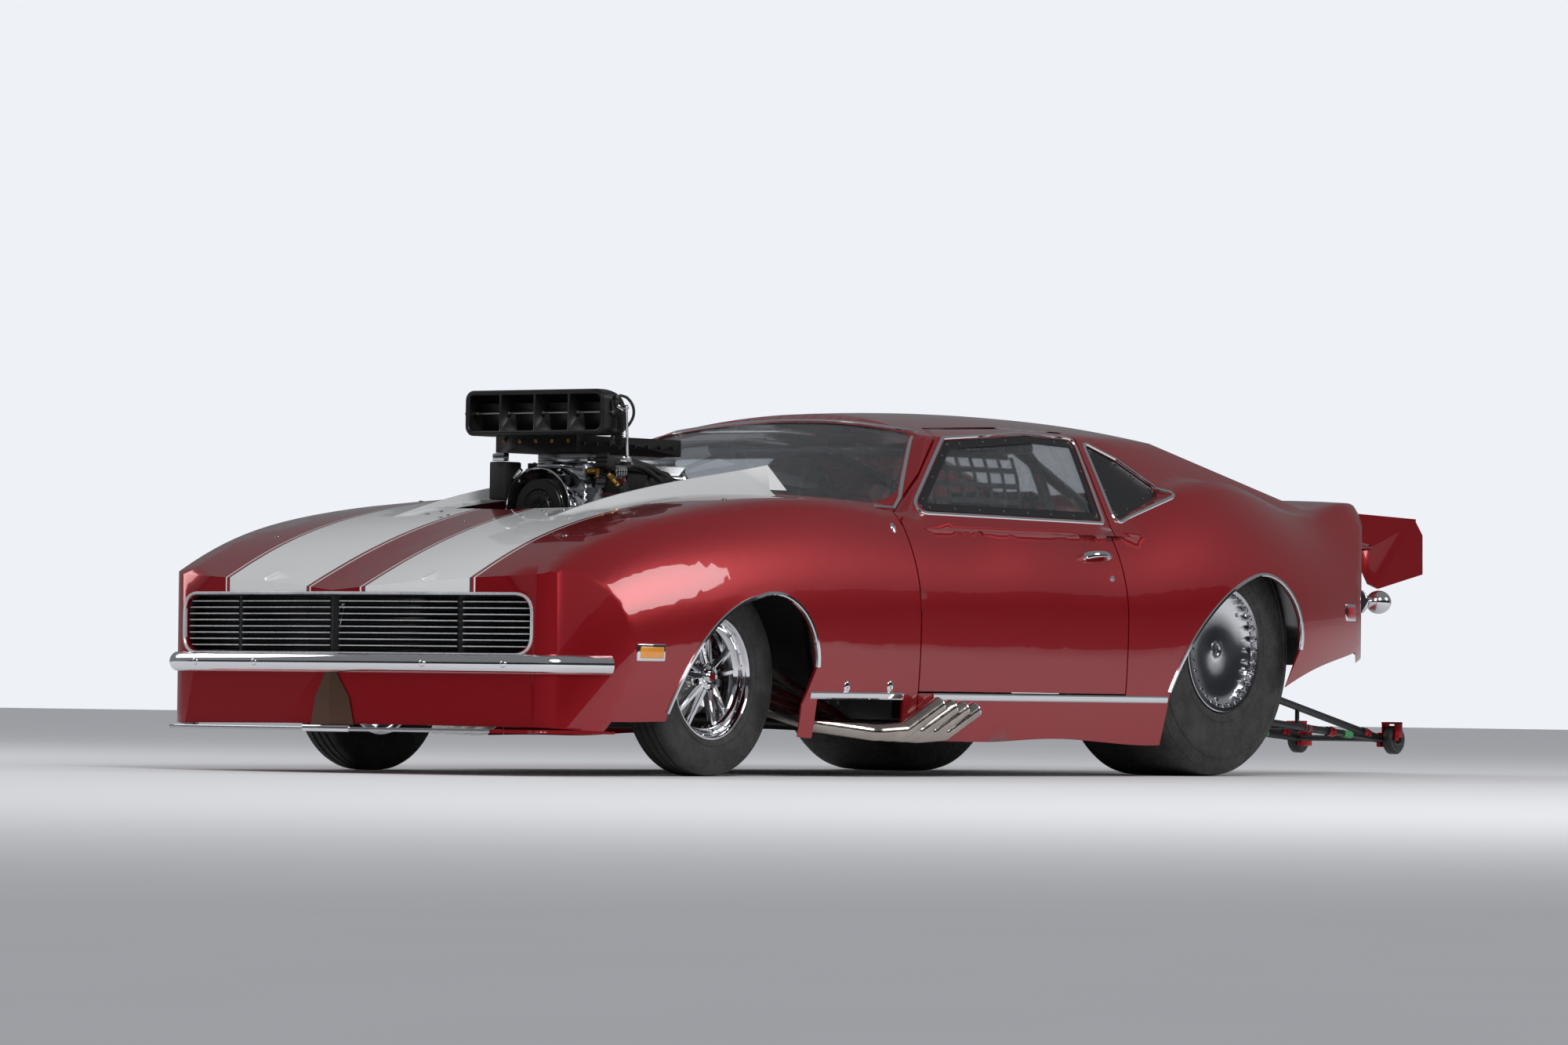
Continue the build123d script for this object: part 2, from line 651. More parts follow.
LINK_Y = 300.0
LINK_Z = 130.0  # link pivots above and below the axle
with BuildPart() as axle_housing:
    add(disc(AXLE_TUBE_R, -HOUSING_END_Y, HOUSING_END_Y))
    with BuildSketch(Plane.YZ.offset(-120)):
        Circle(118)
    with BuildSketch(Plane.YZ.offset(-40)):
        Circle(152)
    with BuildSketch(Plane.YZ.offset(70)):
        Circle(150)
    with BuildSketch(Plane.YZ.offset(PINION_AHEAD)):
        Circle(52)
    loft(ruled=True)
    for side in (1, -1):
        with BuildSketch(Plane.XZ.offset(-side * LINK_Y)):
            with BuildLine():
                Polyline(
                    (-70, 50), (-100, 40), (-100, 175), (50, 175), (60, 0),
                    (50, -195), (-100, -195), (-100, -60), (-70, -50), close=True,
                )
            make_face()
        extrude(amount=8, both=True)
        with BuildSketch(Plane.XZ.offset(-side * (DISC_Y + 4))):
            with Locations((-118, 0)):
                Rectangle(70, 150)
        extrude(amount=side * 46)
        add(
            disc(REAR_DISC_R + 4, *sorted((side * (DISC_Y - DISC_WALL - 3), side * (DISC_Y + 3)))),
            mode=Mode.SUBTRACT,
        )
        with Locations((-118, side * (DISC_Y - 40), 0)):
            Box(70, 50, 60)
        with Locations((-60, side * (DISC_Y - 40), 0)):
            Box(120, 30, 60)
    add(disc(AXLE_SHAFT_R + RUN_GAP, -SIDE_Y, SIDE_Y), mode=Mode.SUBTRACT)
housing_part = Pos(REAR_AXLE_X, 0, REAR_TYRE_R) * axle_housing.part
with BuildPart() as axle_housing:
    add(housing_part)
save(axle_housing, "rear_axle_housing")


def tube(points, radius, bend=BEND_R):
    """A round tube along straight runs with equal bends."""
    with BuildPart() as pipe:
        with BuildLine() as route:
            if len(points) == 2:
                Line(*points)
            else:
                FilletPolyline(*points, radius=bend)
        with BuildSketch(Plane(origin=points[0], z_dir=Vector(*points[1]) - Vector(*points[0]))):
            Circle(radius)
        sweep()
    return pipe.part


def mirrored(points):
    """The same route on the other side of the car."""
    return [(x, -y, z) for x, y, z in points]


# Front axle: strut knuckles on a lower arm, with the spindle for each wheel
BALL_JOINT = (0.0, 590.0, 212.0)  # ahead of the front axle, y, height
STRUT_EYE = (0.0, 505.0, 772.0)
PIN_R = 9.0
ROD_R = 11.0
EYE_WALL = 9.0
STEER_ARM = (112.0, 581.0, 268.0)
TIE_PIN_R = 6.0
TIE_EYE_R = 17.0
TIE_DROP = 26.0  # the tie rods lie this far below the steering arms
HUB_INNER_Y = FRONT_TRACK / 2 + HUB_Y[0]


def at_front(point, side=1):
    """A point given ahead of the front axle, on the chosen side."""
    return (front(point[0]), side * point[1], point[2])


def cylinder_between(start, end, radius):
    """A plain round bar from one point to another."""
    with BuildPart() as bar:
        with BuildSketch(Plane(origin=start, z_dir=Vector(*end) - Vector(*start))):
            Circle(radius)
        extrude(amount=(Vector(*end) - Vector(*start)).length)
    return bar.part


def along(start, end, share):
    """The point at a share of the way from start to end."""
    return tuple(a + (b - a) * share for a, b in zip(start, end))


# Lower frame rails and front structure. Points are (ahead of rear axle, y, height).
RAIL_Z = 172.0
RAIL_Y = 600.0
REAR_RAIL_Y = 205.0
FRONT_RAIL_Y = 345.0
SPRING_TOP_Z = 671.0
FLOOR_ROUTES = [
    [(3560, FRONT_RAIL_Y, 205), (2480, FRONT_RAIL_Y, 190), (2080, RAIL_Y, RAIL_Z), (640, RAIL_Y, RAIL_Z),
     (560, REAR_RAIL_Y, 250)],
]
FLOOR_CROSSES = [
    (3545, FRONT_RAIL_Y, 205), (2960, FRONT_RAIL_Y, 197), (1250, RAIL_Y, RAIL_Z), (640, RAIL_Y, RAIL_Z),
]
FRONT_ROUTES = [
    [(3540, FRONT_RAIL_Y, 215), (3330, 430, 600), (2920, 455, 742), (2240, 620, 800), (2080, RAIL_Y, 185)],
    [(2920, FRONT_RAIL_Y, 200), (2920, 440, 730)],
]
FRONT_CROSSES = [(3330, 430, 592)]
REAR_ROUTES = [
    [(545, REAR_RAIL_Y, 280), (300, REAR_RAIL_Y, 690), (-880, REAR_RAIL_Y, 640)],
    [(552, REAR_RAIL_Y, 205), (552, REAR_RAIL_Y, 545)],
]
REAR_CROSSES = [
    (552, REAR_RAIL_Y, 533), (300, REAR_RAIL_Y, 688),
    (-150, REAR_RAIL_Y, SPRING_TOP_Z), (-600, REAR_RAIL_Y, 652),
    (-875, REAR_RAIL_Y, 640),
]


def placed_route(points):
    """A route in the car's frame."""
    return [(rear(a), y, z) for a, y, z in points]


def tube_frame(side_routes, cross_routes):
    """Matching side tubes left and right, joined by straight cross tubes."""
    with BuildPart() as frame:
        for points in side_routes:
            route = placed_route(points)
            add(tube(route, RAIL_R, 60))
            add(tube(mirrored(route), RAIL_R, 60))
        for ahead, y, z in cross_routes:
            add(tube([(rear(ahead), -y, z), (rear(ahead), y, z)], CROSS_R))
    return frame.part


with BuildPart() as frame_rails:
    add(tube_frame(FLOOR_ROUTES, FLOOR_CROSSES))
save(frame_rails, "frame_rails")

with BuildPart() as front_frame:
    add(tube_frame(FRONT_ROUTES, FRONT_CROSSES))
    for side in (1, -1):
        low, top = at_front(BALL_JOINT, side), at_front(STRUT_EYE, side)
        add(cylinder_between(along(low, top, 0.985), along(low, top, 1.02), 58))
        add(
            cylinder_between(along(low, top, 0.9), along(low, top, 1.1), ROD_R * 0.8 + RUN_GAP),
            mode=Mode.SUBTRACT,
        )
    add(frame_rails.part, mode=Mode.SUBTRACT)
save(front_frame, "front_frame")

with BuildPart() as rear_frame:
    add(tube_frame(REAR_ROUTES, REAR_CROSSES))
    add(frame_rails.part, mode=Mode.SUBTRACT)
save(rear_frame, "rear_frame")

# Roll cage
CAGE_FOOT_Z = RAIL_Z + RAIL_R + SEAT_GAP
HOOP_ROUTE = [
    (640, 600, CAGE_FOOT_Z), (640, 640, 700), (700, 480, 1165), (700, -480, 1165), (640, -640, 700),
    (640, -600, CAGE_FOOT_Z),
]
SIDE_ROUTES = [
    [(1960, 600, CAGE_FOOT_Z), (1925, 700, 790), (1440, 520, 1140), (700, 478, 1165)],
    [(1940, 660, 480), (640, 622, 480)],
    [(1930, 690, 740), (640, 620, 300)],
]
BRACE_ROUTE = [(700, 420, 1165), (-760, REAR_RAIL_Y, 665)]
with BuildPart() as roll_cage:
    add(tube(placed_route(HOOP_ROUTE), CAGE_R, 110))
    add(tube([(rear(640), -620, 640), (rear(640), 620, 640)], CAGE_R))
    add(frame_rails.part, mode=Mode.SUBTRACT)
save(roll_cage, "roll_cage")

with BuildPart() as cage_sides:
    for points in SIDE_ROUTES:
        route = placed_route(points)
        add(tube(route, CAGE_R, 110))
        add(tube(mirrored(route), CAGE_R, 110))
    for frame in (frame_rails, front_frame, roll_cage):
        add(frame.part, mode=Mode.SUBTRACT)
    add(door_hinges.part)
save(cage_sides, "cage_sides")

with BuildPart() as cage_braces:
    route = placed_route(BRACE_ROUTE)
    add(tube(route, CAGE_R, 110))
    add(tube(mirrored(route), CAGE_R, 110))
    for ahead, y, z in ((1925, 700, 780), (1460, 525, 1130)):
        add(tube([(rear(ahead), -y, z), (rear(ahead), y, z)], CAGE_R))
    for frame in (rear_frame, roll_cage, cage_sides):
        add(frame.part, mode=Mode.SUBTRACT)
save(cage_braces, "cage_braces")

# Steered knuckles
for side, word in ((1, "left"), (-1, "right")):
    low, top = at_front(BALL_JOINT, side), at_front(STRUT_EYE, side)
    centre = (FRONT_AXLE_X, side * (HUB_INNER_Y - 66), FRONT_TYRE_R)
    with BuildPart() as knuckle:
        add(cylinder_between(along(low, top, -0.05), along(low, top, 1.04), ROD_R * 0.8))
        add(cylinder_between(along(low, top, 0.05), along(low, top, 0.24), 30))
        add(cylinder_between(along(low, top, 0.22), along(low, top, 0.80), 25))
        add(cylinder_between(along(low, top, 0.42), along(low, top, 0.86), 40))
        hub_face = (FRONT_AXLE_X, side * (HUB_INNER_Y - 2), FRONT_TYRE_R)
        add(cylinder_between(centre, hub_face, 34))
        spindle_end = (FRONT_AXLE_X, side * (FRONT_TRACK / 2 + HUB_Y[1] - 10.3), FRONT_TYRE_R)
        add(cylinder_between(centre, spindle_end, SPINDLE_R))
        arm_end = at_front(STEER_ARM, side)
        add(cylinder_between((centre[0], centre[1], STEER_ARM[2] + 8), arm_end, 12))
        add(cylinder_between(
            (arm_end[0], arm_end[1], arm_end[2] + 16),
            (arm_end[0], arm_end[1], arm_end[2] - TIE_DROP - 12), TIE_PIN_R,
        ))
        with Locations((front(-60), side * (HUB_INNER_Y - 34), FRONT_TYRE_R + 20)):
            Box(120, 22, 46)
        with Locations((front(-118), side * (HUB_INNER_Y + DISC_WALL / 2 - 8), FRONT_TYRE_R + 14)):
            Box(52, DISC_WALL + 58, 92)
        slot = disc(FRONT_DISC_R + 4, HUB_INNER_Y - 3, HUB_INNER_Y + DISC_WALL + 3, 60)
        placed = slot if side > 0 else Rotation(0, 0, 180) * slot
        add(Pos(FRONT_AXLE_X, 0, FRONT_TYRE_R) * placed, mode=Mode.SUBTRACT)
    save(knuckle, f"knuckle_{word}")

# Lower arms and strut mounts, fixed to the frame
ARM_SPREAD = 190.0
with BuildPart() as front_arms:
    for side in (1, -1):
        low, top = at_front(BALL_JOINT, side), at_front(STRUT_EYE, side)
        for lead in (1, -1):
            inner = (front(lead * ARM_SPREAD), side * (FRONT_RAIL_Y + RAIL_R + SEAT_GAP + 17), 214)
            add(cylinder_between(inner, along(low, top, -0.015), 15))
            with Locations(inner):
                Box(50, 34, 44)
        add(cylinder_between(along(low, top, -0.04), along(low, top, 0.035), 26))
        add(
            cylinder_between(along(low, top, -0.1), along(low, top, 0.2), ROD_R * 0.8 + RUN_GAP),
            mode=Mode.SUBTRACT,
        )

# Steering rack bar with both tie rods; it slides across the car
RACK_Z = STEER_ARM[2] - TIE_DROP
with BuildPart() as steering_rack:
    eye = at_front(STEER_ARM)
    inner_y = 300
    add(cylinder_between(
        (front(STEER_ARM[0]), -inner_y, RACK_Z), (front(STEER_ARM[0]), inner_y, RACK_Z), 14,
    ))
    for side in (1, -1):
        x, y, z = at_front(STEER_ARM, side)
        add(cylinder_between((x, side * (inner_y - 20), RACK_Z), (x, y - side * TIE_EYE_R, RACK_Z), 9))
        with Locations((x, y, RACK_Z)):
            Cylinder(TIE_EYE_R + EYE_WALL, 14)
            Cylinder(TIE_EYE_R, 20, mode=Mode.SUBTRACT)
save(steering_rack, "steering_rack_bar")

with BuildPart() as rack_housing:
    x = front(STEER_ARM[0])
    add(cylinder_between((x, -190, RACK_Z), (x, 190, RACK_Z), 30))
    with Locations((x, 0, RACK_Z - 30)):
        Box(44, 2 * (FRONT_RAIL_Y - RAIL_R - SEAT_GAP), 30)
    add(cylinder_between((x, -400, RACK_Z), (x, 400, RACK_Z), 14 + RUN_GAP), mode=Mode.SUBTRACT)

with BuildPart() as front_suspension:
    add(front_arms.part)
    add(rack_housing.part)
save(front_suspension, "front_suspension")

# Engine, as one block with its heads and sump, and the gearbox behind it
ENGINE_FRONT = 2790.0  # ahead of the rear axle
ENGINE_LENGTH = 640.0
CRANK_Z = 330.0
ENGINE_REAR = ENGINE_FRONT - ENGINE_LENGTH
BANK_ANGLE = 45.0
HEAD_Y = 205.0
HEAD_RISE = 210.0  # middle of a head above the crank
HEAD_SIZE = (150.0, 190.0)
with BuildPart() as engine_block:
    with BuildSketch(Plane.YZ.offset(rear(ENGINE_REAR))):
        with BuildLine():
            Polyline(
                (-120, CRANK_Z - 175), (120, CRANK_Z - 175), (150, CRANK_Z - 40), (185, CRANK_Z + 110),
                (90, CRANK_Z + 215), (-90, CRANK_Z + 215), (-185, CRANK_Z + 110), (-150, CRANK_Z - 40),
                close=True,
            )
        make_face()
    extrude(amount=ENGINE_LENGTH)
    for side in (1, -1):
        with BuildSketch(Plane.YZ.offset(rear(ENGINE_REAR + 30))):
            with Locations((side * HEAD_Y, CRANK_Z + HEAD_RISE)):
                Rectangle(*HEAD_SIZE, rotation=-side * BANK_ANGLE)
        extrude(amount=ENGINE_LENGTH - 60)
    with Locations((rear(ENGINE_FRONT) - 4, 0, 290)):
        Box(8, 2 * (FRONT_RAIL_Y - RAIL_R - SEAT_GAP), 220)
save(engine_block, "engine_block")

GEARBOX_END = 1270.0
PINION_Z = REAR_TYRE_R
SHAFT_R = 45.0
STUB_R = 24.0
shaft_front = (rear(GEARBOX_END + 55), 0, CRANK_Z)
shaft_back = (rear(PINION_AHEAD + 4), 0, PINION_Z)
with BuildPart() as gearbox:
    for ahead, radius in ((ENGINE_REAR - SEAT_GAP, 190), (1960, 120), (1450, 105), (GEARBOX_END, 60)):
        with BuildSketch(Plane.YZ.offset(rear(ahead))):
            with Locations((0, CRANK_Z)):
                Circle(radius)
    loft(ruled=True)
    add(
        cylinder_between(
            along(shaft_front, shaft_back, 0.2), along(shaft_front, shaft_back, -0.005), STUB_R + RUN_GAP,
        ),
        mode=Mode.SUBTRACT,
    )
save(gearbox, "gearbox")

# Drive shaft between gearbox and pinion
with BuildPart() as drive_shaft:
    add(cylinder_between(shaft_front, shaft_back, STUB_R))
    add(cylinder_between(
        along(shaft_front, shaft_back, 0.08), along(shaft_front, shaft_back, 0.97), SHAFT_R,
    ))
save(drive_shaft, "drive_shaft")

# Supercharger on a tall manifold, with its belt drive and the injector scoop above
BLOWER_FRONT = ENGINE_FRONT
BLOWER_LENGTH = 540.0
BLOWER_Z = (700.0, 1052.0)
BLOWER_HALF_WIDTH = 145.0
BLOWER_GROOVES = 6
BLOWER_GROOVE_PITCH = 34.0
BLOWER_GROOVE = 15.0
END_PLATE = 22.0
HAT_FRONT = 2920.0
HAT_FLAT = 25.0  # flat top of the hat, before it curves down at the back
HAT_FOOT = 112.0  # depth of the hat where it meets its base plate
HAT_Z = (1142.0, 1296.0)
HAT_HALF_WIDTH = 300.0
HAT_CORNER_R = 34.0
HAT_WALL = 8.0
HAT_MOUTHS = 4
HAT_MOUTH_CUT = 12.0  # cut corners of each mouth
HAT_PLATE_Z = 1085.0
HAT_PLATE_LENGTH = 575.0
HAT_PLATE_HALF = 175.0
HAT_NECK_HALF = 105.0
GUARD_R = 132.0
GUARD_WALL = 6.0
GUARD_LEG = 70.0
PULLEY_R = 92.0
with BuildPart() as manifold:
    with BuildSketch(Plane.YZ.offset(rear(BLOWER_FRONT - BLOWER_LENGTH))):
        with BuildLine():
            Polyline(
                (-92, CRANK_Z + 215 + SEAT_GAP), (92, CRANK_Z + 215 + SEAT_GAP), (120, BLOWER_Z[0]),
                (-120, BLOWER_Z[0]), close=True,
            )
        make_face()
    extrude(amount=BLOWER_LENGTH)

with BuildPart() as supercharger:
    middle_z = (BLOWER_Z[0] + BLOWER_Z[1]) / 2
    with BuildSketch(Plane.YZ.offset(rear(BLOWER_FRONT - BLOWER_LENGTH))):
        with Locations((0, middle_z)):
            RectangleRounded(2 * BLOWER_HALF_WIDTH, BLOWER_Z[1] - BLOWER_Z[0], 80)
        with Locations((0, BLOWER_Z[0] + 20)):
            Rectangle(2 * BLOWER_HALF_WIDTH, 40)
        with Locations((0, BLOWER_Z[1] - 15)):
            Rectangle(2 * BLOWER_HALF_WIDTH - 30, 30)
        for i in range(BLOWER_GROOVES):
            z = middle_z + (i - (BLOWER_GROOVES - 1) / 2) * BLOWER_GROOVE_PITCH
            with Locations((-BLOWER_HALF_WIDTH, z), (BLOWER_HALF_WIDTH, z)):
                Rectangle(2 * BLOWER_GROOVE, BLOWER_GROOVE, mode=Mode.SUBTRACT)
    extrude(amount=BLOWER_LENGTH)
    for ahead in (BLOWER_FRONT, BLOWER_FRONT - BLOWER_LENGTH + END_PLATE):
        with BuildSketch(Plane.YZ.offset(rear(ahead))):
            with Locations((0, middle_z)):
                RectangleRounded(2 * BLOWER_HALF_WIDTH + 12, BLOWER_Z[1] - BLOWER_Z[0] - 8, 60)
        extrude(amount=-END_PLATE)
    add(manifold.part)
save(supercharger, "supercharger")

with BuildPart() as blower_drive:
    belt_x = rear(BLOWER_FRONT) + SEAT_GAP
    for radius, z in ((PULLEY_R, middle_z + 20), (PULLEY_R, CRANK_Z)):
        add(cylinder_between((belt_x, 0, z), (belt_x + 96, 0, z), radius))
    with BuildSketch(Plane.YZ.offset(belt_x + 12)):
        with Locations((0, (middle_z + 20 + CRANK_Z) / 2)):
            Rectangle(2 * PULLEY_R + 8, middle_z + 20 - CRANK_Z)
            Rectangle(2 * PULLEY_R, middle_z + 20 - CRANK_Z, mode=Mode.SUBTRACT)
        with Locations((0, middle_z + 20), (0, CRANK_Z)):
            Circle(PULLEY_R + 4)
    extrude(amount=76)
    with BuildSketch(Plane.YZ.offset(belt_x)):
        with Locations((0, middle_z + 20)):
            Circle(GUARD_R + GUARD_WALL)
            Circle(GUARD_R, mode=Mode.SUBTRACT)
        with Locations((0, middle_z + 20 - GUARD_R)):
            Rectangle(3 * GUARD_R, 2 * GUARD_R, mode=Mode.SUBTRACT)
        for side in (1, -1):
            with Locations((side * (GUARD_R + GUARD_WALL / 2), middle_z + 20 - GUARD_LEG / 2)):
                Rectangle(GUARD_WALL, GUARD_LEG)
    extrude(amount=104)
save(blower_drive, "blower_drive")


def hat_side(inset):
    """The injector hat seen from the side: a flat front and top, rounded down at the back."""
    high = HAT_Z[1] - HAT_Z[0]
    drop = HAT_FOOT - HAT_FLAT
    radius = (drop * drop + high * high) / (2 * high)
    centre = (rear(HAT_FRONT) - HAT_FLAT, HAT_Z[1] - radius)
    low = HAT_Z[0] + inset
    reach = radius - inset
    end_angle = 180 + degrees(atan2(centre[1] - low, sqrt(reach**2 - (centre[1] - low) ** 2)))
    middle = radians((90 + end_angle) / 2)
    top = (centre[0], HAT_Z[1] - inset)
    foot = (centre[0] + reach * cos(radians(end_angle)), low)
    ahead = rear(HAT_FRONT) + (inset if inset else 0)
    with BuildSketch(Plane.XZ, mode=Mode.PRIVATE) as profile:
        with BuildLine():
            Polyline(foot, (ahead, low), (ahead, top[1]), top)
            ThreePointArc(top, (centre[0] + reach * cos(middle), centre[1] + reach * sin(middle)), foot)
        make_face()
    return profile.sketch


with BuildPart() as injector_hat:
    hat_mid = (HAT_Z[0] + HAT_Z[1]) / 2
    hat_high = HAT_Z[1] - HAT_Z[0]
    extrude(hat_side(0), amount=HAT_HALF_WIDTH, dir=(0, 1, 0), both=True)
    with BuildSketch(Plane.YZ.offset(rear(HAT_FRONT - 2 * HAT_FOOT))):
        with Locations((0, hat_mid)):
            RectangleRounded(2 * HAT_HALF_WIDTH, hat_high, HAT_CORNER_R)
    extrude(amount=3 * HAT_FOOT, mode=Mode.INTERSECT)
    mouth = (2 * (HAT_HALF_WIDTH - HAT_WALL) - (HAT_MOUTHS - 1) * HAT_WALL) / HAT_MOUTHS
    with BuildPart(mode=Mode.PRIVATE) as mouths:
        extrude(hat_side(HAT_WALL), amount=HAT_HALF_WIDTH, dir=(0, 1, 0), both=True)
        with BuildSketch(Plane.YZ.offset(rear(HAT_FRONT - 2 * HAT_FOOT))):
            for i in range(HAT_MOUTHS):
                with Locations(((i - (HAT_MOUTHS - 1) / 2) * (mouth + HAT_WALL), hat_mid)):
                    opening = Rectangle(mouth, hat_high - 2 * HAT_WALL)
                    chamfer(opening.vertices(), HAT_MOUTH_CUT)
        extrude(amount=3 * HAT_FOOT, mode=Mode.INTERSECT)
    add(mouths.part, mode=Mode.SUBTRACT)
    with Locations((rear(HAT_FRONT - 12 - HAT_PLATE_LENGTH / 2), 0, (HAT_PLATE_Z + HAT_Z[0]) / 2)):
        Box(HAT_PLATE_LENGTH, 2 * HAT_PLATE_HALF, HAT_Z[0] - HAT_PLATE_Z)
    neck_low = BLOWER_Z[1] + SEAT_GAP
    with Locations((rear(BLOWER_FRONT - BLOWER_LENGTH / 2), 0, (neck_low + HAT_PLATE_Z) / 2)):
        Box(BLOWER_LENGTH - 60, 2 * HAT_NECK_HALF, HAT_PLATE_Z - neck_low)
save(injector_hat, "injector_hat")

# Exhausts: four swept pipes on each side
PIPE_R = 28.5
PIPE_BEND = 46.0
PORT_Y = HEAD_Y + (HEAD_SIZE[0] / 2 + SEAT_GAP) * cos(radians(BANK_ANGLE))
PORT_Z = CRANK_Z + HEAD_RISE - (HEAD_SIZE[0] / 2 + SEAT_GAP) * sin(radians(BANK_ANGLE))
# Columns: port, elbow, then the sweep outwards, the tail and the tip, as (ahead of rear axle, y, height)
# Columns: where the pipe leaves the head, how far down and out it runs first, where it turns
# outwards, and its last four bends. The first pipe is the lowest, so each runs back clear of the next.
PIPE_ROWS = [
    (2690, 204, 2480, (2400, 800, 178), (2260, 962, 150), (2130, 985, 158), (1960, 1010, 248)),
    (2560, 160, 2400, (2330, 800, 172), (2190, 966, 148), (2050, 985, 156), (1888, 1010, 240)),
    (2430, 116, 2320, (2265, 800, 166), (2115, 970, 146), (1975, 985, 154), (1820, 1010, 236)),
    (2300, 72, 2195, (2170, 800, 160), (2040, 974, 144), (1900, 985, 152), (1752, 1010, 232)),
]
PIPES = [
    [
        (port, PORT_Y, PORT_Z), (port, PORT_Y + drop, PORT_Z - drop),
        (turn, PORT_Y + drop, PORT_Z - drop), *ends,
    ]
    for port, drop, turn, *ends in PIPE_ROWS
]

# Wheelie bar behind the rear axle
BAR_R = 14.0
BAR_ROOT_Y = 270.0
with BuildPart() as wheelie_bar:
    half = WHEELIE_TRACK / 2
    axle_z = WHEELIE_CLEARANCE + WHEELIE_WHEEL_R
    axle_x = -OVERALL_LENGTH / 2 + WHEELIE_WHEEL_R
    for side in (1, -1):
        y = side * (half - WHEELIE_WHEEL_WIDTH / 2 - 18)
        end = (axle_x + 12, y, axle_z)
        low = (rear(-84), side * BAR_ROOT_Y, REAR_TYRE_R - 175)
        high = (rear(-84), side * BAR_ROOT_Y, REAR_TYRE_R + 60)
        for root in (low, high):
            add(cylinder_between(root, (root[0], side * (LINK_Y - 8 - SEAT_GAP), root[2]), 10))
        add(cylinder_between(low, end, BAR_R))
        add(cylinder_between(high, end, BAR_R))
        for share in (0.35, 0.68):
            add(cylinder_between(along(low, end, share), along(high, end, share), BAR_R * 0.6))
        add(cylinder_between(low, high, BAR_R))
        with Locations(end):
            Box(60, 14, 44)
    for share in (0.0, 0.35, 0.68, 0.97):
        a = along(
            (rear(-84), BAR_ROOT_Y, REAR_TYRE_R - 175),
            (axle_x + 12, half - WHEELIE_WHEEL_WIDTH / 2 - 18, axle_z), share,
        )
        add(cylinder_between((a[0], -a[1], a[2]), a, BAR_R * 0.7))
    add(cylinder_between((axle_x, -half - 26, axle_z), (axle_x, half + 26, axle_z), WHEELIE_AXLE_R))
    for side in (1, -1):
        add(cylinder_between((axle_x, side * (half + 21), axle_z), (axle_x, side * (half + 30), axle_z), 14))
save(wheelie_bar, "wheelie_bar")

for side, word in ((1, "left"), (-1, "right")):
    with BuildPart() as wheelie_wheel:
        add(disc(
            WHEELIE_WHEEL_R, -WHEELIE_WHEEL_WIDTH / 2, WHEELIE_WHEEL_WIDTH / 2, WHEELIE_AXLE_R + RUN_GAP,
        ))
        rims = edges().filter_by(GeomType.CIRCLE).filter_by(lambda e: e.radius > WHEELIE_WHEEL_R - 1)
        chamfer(rims, 6)
    placed_wheel = Pos(axle_x, side * half, axle_z) * wheelie_wheel.part
    with BuildPart() as wheelie_wheel:
        add(placed_wheel)
    save(wheelie_wheel, f"wheelie_wheel_{word}")

# Cabin floor, firewall and the wells over the rear tyres
FLOOR_Z = RAIL_Z + RAIL_R + SEAT_GAP
SHEET = 3.0
TUNNEL_HALF = 135.0
FLOOR_SPAN = (695.0, 1930.0)
FLOOR_HALF_WIDTH = 930.0
TUNNEL_TOP = 300.0
FIREWALL = 2000.0
with BuildPart() as floor_pan:
    floor_mid, floor_long = rear(sum(FLOOR_SPAN) / 2), FLOOR_SPAN[1] - FLOOR_SPAN[0]
    for side in (1, -1):
        with Locations((floor_mid, side * (TUNNEL_HALF + FLOOR_HALF_WIDTH) / 2, FLOOR_Z + SHEET / 2)):
            Box(floor_long, FLOOR_HALF_WIDTH - TUNNEL_HALF, SHEET)
        with Locations((floor_mid, side * TUNNEL_HALF, FLOOR_Z + TUNNEL_TOP / 2)):
            Box(floor_long, SHEET, TUNNEL_TOP)
    with Locations((floor_mid, 0, FLOOR_Z + TUNNEL_TOP - SHEET / 2)):
        Box(floor_long, 2 * TUNNEL_HALF, SHEET)
    add(inner_form.part, mode=Mode.INTERSECT)

with BuildPart() as firewall:
    with BuildSketch(Plane.YZ.offset(rear(FIREWALL))):
        with BuildLine():
            Polyline(
                (0, FLOOR_Z), (840, FLOOR_Z), (840, 740), (770, 850), (560, 905), (0, 925),
            )
            mirror(about=Plane.YZ)
        make_face()
        with Locations((0, CRANK_Z)):
            Circle(160, mode=Mode.SUBTRACT)
        with Locations((0, FLOOR_Z)):
            Rectangle(320, 2 * (CRANK_Z - FLOOR_Z), mode=Mode.SUBTRACT)
    extrude(amount=SHEET)

with BuildPart() as cabin_floor:
    add(floor_pan.part)
    add(firewall.part)
save(cabin_floor, "floor_and_firewall")

# Seat, dash and steering wheel for the driver on the left
DRIVER_Y = 330.0
SEAT_HALF_WIDTH = 180.0
SEAT_WALL = 22.0
with BuildPart() as seat:
    with BuildSketch(Plane.XZ.offset(-DRIVER_Y)):
        with BuildLine():
            Polyline(
                (rear(1330), FLOOR_Z + SHEET + SEAT_GAP), (rear(1340), 330),
                (rear(930), 285), (rear(720), 1010),
                (rear(672), 1000), (rear(850), FLOOR_Z + SHEET + SEAT_GAP), close=True,
            )
        make_face()
    extrude(amount=SEAT_HALF_WIDTH, both=True)
    with BuildSketch(Plane.XZ.offset(-DRIVER_Y)):
        with BuildLine():
            Polyline(
                (rear(1400), 262), (rear(1400), 400), (rear(985), 345),
                (rear(820), 960), (rear(724), 1060), (rear(890), 300), close=True,
            )
        make_face()
    extrude(amount=SEAT_HALF_WIDTH - SEAT_WALL, both=True, mode=Mode.SUBTRACT)
save(seat, "seat")

